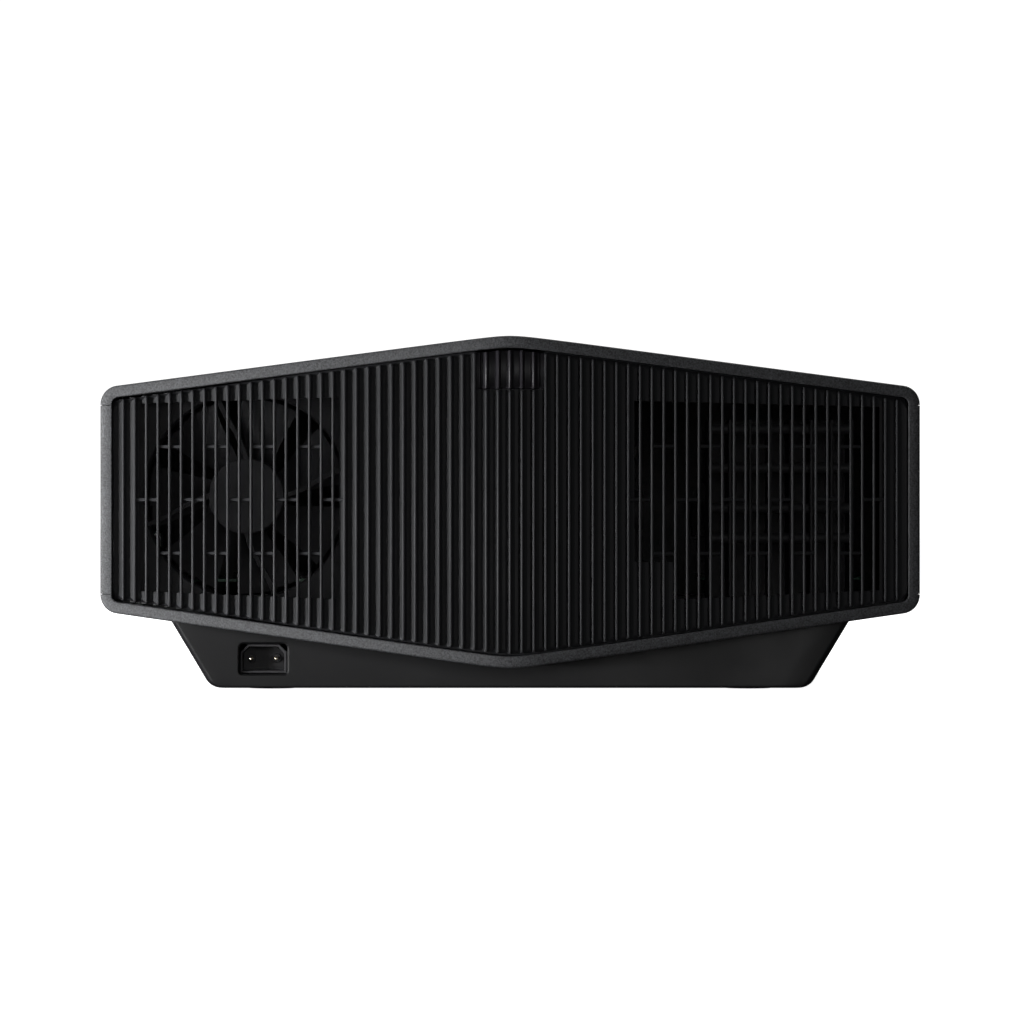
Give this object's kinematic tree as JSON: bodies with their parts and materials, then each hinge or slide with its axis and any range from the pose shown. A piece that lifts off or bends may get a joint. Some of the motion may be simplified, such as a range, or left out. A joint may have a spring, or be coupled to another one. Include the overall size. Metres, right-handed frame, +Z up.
{
  "type": "home projector",
  "caption": "Black home-theatre projector with V-shaped ends, a full-width vertical-slat rear louvre, a flared plinth, and a recessed zoom lens.",
  "frame": {"origin": "centre of the bounding box's underside, on the surface it stands on", "axes": "+Z up; +Y towards the lens, -Y towards the rear louvre; +X to the right as seen from behind"},
  "size_m": [0.46, 0.472, 0.1976],
  "materials": {
    "textured_black": "fine-grained moulded",
    "satin_black": "satin",
    "louvre_black": "satin",
    "dark_window": "gloss",
    "engine_black": "matte",
    "rubber": "matte",
    "sheet_steel": "rolled",
    "cast_aluminium": "cast",
    "brass": "plated",
    "board_green": "solder mask",
    "glass": "coated",
    "phosphor": "coated"
  },
  "bodies": {
    "root": {"top_cover": "textured_black", "bottom_cover": "textured_black", "side_panel_left": "textured_black", "side_panel_right": "textured_black", "plinth_base": "satin_black", "rear_foot_left": "rubber", "rear_foot_right": "rubber", "front_foot_nut_left": "sheet_steel", "front_foot_nut_right": "sheet_steel", "rear_louvre": "louvre_black", "rear_ir_window": "dark_window", "inlet_housing": "engine_black", "mains_pin_left": "brass", "mains_pin_right": "brass", "front_panel": "textured_black", "front_louvre_left": "louvre_black", "front_louvre_right": "louvre_black", "lens_surround": "satin_black", "front_ir_window": "dark_window", "lens_mount_frame": "cast_aluminium", "intake_fan_frame": "engine_black", "exhaust_fan_frame": "engine_black", "optical_engine": "cast_aluminium", "laser_module": "engine_black", "laser_heat_sink": "engine_black", "wheel_motor": "engine_black", "chassis_plate": "sheet_steel", "fan_bulkhead": "engine_black", "main_board": "board_green", "power_board": "board_green", "terminal_plate": "satin_black", "lan_socket": "sheet_steel", "usb_socket": "sheet_steel", "hdmi_socket_1": "sheet_steel", "hdmi_socket_2": "sheet_steel", "serial_socket": "sheet_steel", "trigger_socket": "sheet_steel"},
    "intake_rotor": {"intake_fan_rotor": "engine_black"},
    "exhaust_rotor": {"exhaust_fan_rotor": "engine_black"},
    "wheel": {"phosphor_wheel": "phosphor"},
    "vertical_shift_body": {"vertical_carriage": "cast_aluminium"},
    "lens_body": {"horizontal_carriage": "cast_aluminium", "lens_barrel": "engine_black", "front_lens_element": "glass"},
    "zoom_body": {"zoom_ring": "rubber"},
    "focus_body": {"focus_ring": "rubber"},
    "vertical_dial_body": {"vertical_shift_dial": "satin_black"},
    "horizontal_dial_body": {"horizontal_shift_dial": "satin_black"},
    "key_power_body": {"key_power": "satin_black"},
    "key_input_body": {"key_input": "satin_black"},
    "key_menu_body": {"key_menu": "satin_black"},
    "key_up_body": {"key_up": "satin_black"},
    "key_down_body": {"key_down": "satin_black"},
    "key_left_body": {"key_left": "satin_black"},
    "key_right_body": {"key_right": "satin_black"},
    "key_enter_body": {"key_enter": "satin_black"},
    "front_pad_left_body": {"front_foot_pad_left": "rubber"},
    "front_stem_left_body": {"front_foot_stem_left": "sheet_steel"},
    "front_pad_right_body": {"front_foot_pad_right": "rubber"},
    "front_stem_right_body": {"front_foot_stem_right": "sheet_steel"}
  },
  "joints": [
    {"name": "intake_fan_spin", "type": "hinge", "parent": "root", "child": "intake_rotor", "pos_m": [-0.149, -0.1525, 0.1088], "axis": [0, 1, 0], "continuous": true},
    {"name": "exhaust_fan_spin", "type": "hinge", "parent": "root", "child": "exhaust_rotor", "pos_m": [0.152, 0.13, 0.0948], "axis": [0, 1, 0], "continuous": true},
    {"name": "phosphor_wheel_spin", "type": "hinge", "parent": "root", "child": "wheel", "pos_m": [0.06, -0.03, 0.1], "axis": [1, 0, 0], "continuous": true},
    {"name": "vertical_shift", "type": "slide", "parent": "root", "child": "vertical_shift_body", "axis": [0, 0, 1], "range_m": [-0.005, 0.005]},
    {"name": "horizontal_shift", "type": "slide", "parent": "vertical_shift_body", "child": "lens_body", "axis": [1, 0, 0], "range_m": [-0.0033, 0.0033]},
    {"name": "zoom_turn", "type": "hinge", "parent": "lens_body", "child": "zoom_body", "pos_m": [0, 0.1965, 0.106], "axis": [0, 1, 0], "range_deg": [-25, 25]},
    {"name": "focus_turn", "type": "hinge", "parent": "lens_body", "child": "focus_body", "pos_m": [0, 0.211, 0.106], "axis": [0, 1, 0], "range_deg": [-60, 60]},
    {"name": "vertical_dial_turn", "type": "hinge", "parent": "root", "child": "vertical_dial_body", "pos_m": [-0.088, 0.22, 0.061], "axis": [0, 1, 0], "range_deg": [-730, 730]},
    {"name": "horizontal_dial_turn", "type": "hinge", "parent": "root", "child": "horizontal_dial_body", "pos_m": [0.088, 0.22, 0.061], "axis": [0, 1, 0], "range_deg": [-480, 480]},
    {"name": "key_power_press", "type": "slide", "parent": "root", "child": "key_power_body", "axis": [1, 0, 0], "range_m": [0, 0.0008], "stiffness_N_per_m": 1200},
    {"name": "key_input_press", "type": "slide", "parent": "root", "child": "key_input_body", "axis": [1, 0, 0], "range_m": [0, 0.0008], "stiffness_N_per_m": 1200},
    {"name": "key_menu_press", "type": "slide", "parent": "root", "child": "key_menu_body", "axis": [1, 0, 0], "range_m": [0, 0.0008], "stiffness_N_per_m": 1200},
    {"name": "key_up_press", "type": "slide", "parent": "root", "child": "key_up_body", "axis": [1, 0, 0], "range_m": [0, 0.0008], "stiffness_N_per_m": 1200},
    {"name": "key_down_press", "type": "slide", "parent": "root", "child": "key_down_body", "axis": [1, 0, 0], "range_m": [0, 0.0008], "stiffness_N_per_m": 1200},
    {"name": "key_left_press", "type": "slide", "parent": "root", "child": "key_left_body", "axis": [1, 0, 0], "range_m": [0, 0.0008], "stiffness_N_per_m": 1200},
    {"name": "key_right_press", "type": "slide", "parent": "root", "child": "key_right_body", "axis": [1, 0, 0], "range_m": [0, 0.0008], "stiffness_N_per_m": 1200},
    {"name": "key_enter_press", "type": "slide", "parent": "root", "child": "key_enter_body", "axis": [1, 0, 0], "range_m": [0, 0.0008], "stiffness_N_per_m": 1200},
    {"name": "front_foot_left_lift", "type": "slide", "parent": "root", "child": "front_pad_left_body", "axis": [0, 0, -1], "range_m": [0, 0.008]},
    {"name": "front_foot_left_screw", "type": "hinge", "parent": "front_pad_left_body", "child": "front_stem_left_body", "pos_m": [-0.135, 0.15, 0.015], "axis": [0, 0, -1], "range_deg": [0, 2890]},
    {"name": "front_foot_right_lift", "type": "slide", "parent": "root", "child": "front_pad_right_body", "axis": [0, 0, -1], "range_m": [0, 0.008]},
    {"name": "front_foot_right_screw", "type": "hinge", "parent": "front_pad_right_body", "child": "front_stem_right_body", "pos_m": [0.135, 0.15, 0.015], "axis": [0, 0, -1], "range_deg": [0, 2890]}
  ],
  "couplings": [
    {"joint": "vertical_dial_turn", "follows": "vertical_shift", "rad_per_m": 2513.3},
    {"joint": "horizontal_dial_turn", "follows": "horizontal_shift", "rad_per_m": 2513.3},
    {"joint": "front_foot_left_screw", "follows": "front_foot_left_lift", "rad_per_m": 6283.2},
    {"joint": "front_foot_right_screw", "follows": "front_foot_right_lift", "rad_per_m": 6283.2}
  ]
}
